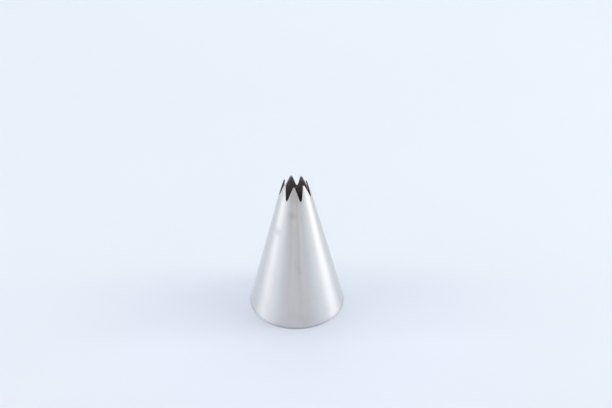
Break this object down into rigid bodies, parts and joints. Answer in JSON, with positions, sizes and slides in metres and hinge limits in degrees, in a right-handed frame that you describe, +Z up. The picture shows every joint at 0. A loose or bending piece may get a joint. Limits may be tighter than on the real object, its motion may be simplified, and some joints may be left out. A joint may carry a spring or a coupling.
{
  "type": "piping nozzle",
  "caption": "Open star piping nozzle of satin stainless sheet: a plain cone whose narrow end is cut into pointed teeth bent inwards.",
  "frame": {"origin": "centre of the circular base edge, on the surface the nozzle stands on", "axes": "+Z up along the cone's axis towards the star; -Y towards the camera of the picture, the side away from the seam"},
  "size_m": [0.034, 0.034, 0.0504],
  "materials": {
    "satin_steel": "satin stainless sheet with fine turned marks, light handling smudges and duller cut edges",
    "weld_steel": "stainless weld metal, dressed flush and brushed along the seam outside, left as a low bead inside"
  },
  "bodies": {
    "root": {"nozzle_shell": "satin_steel", "seam_weld": "weld_steel"}
  },
  "joints": []
}
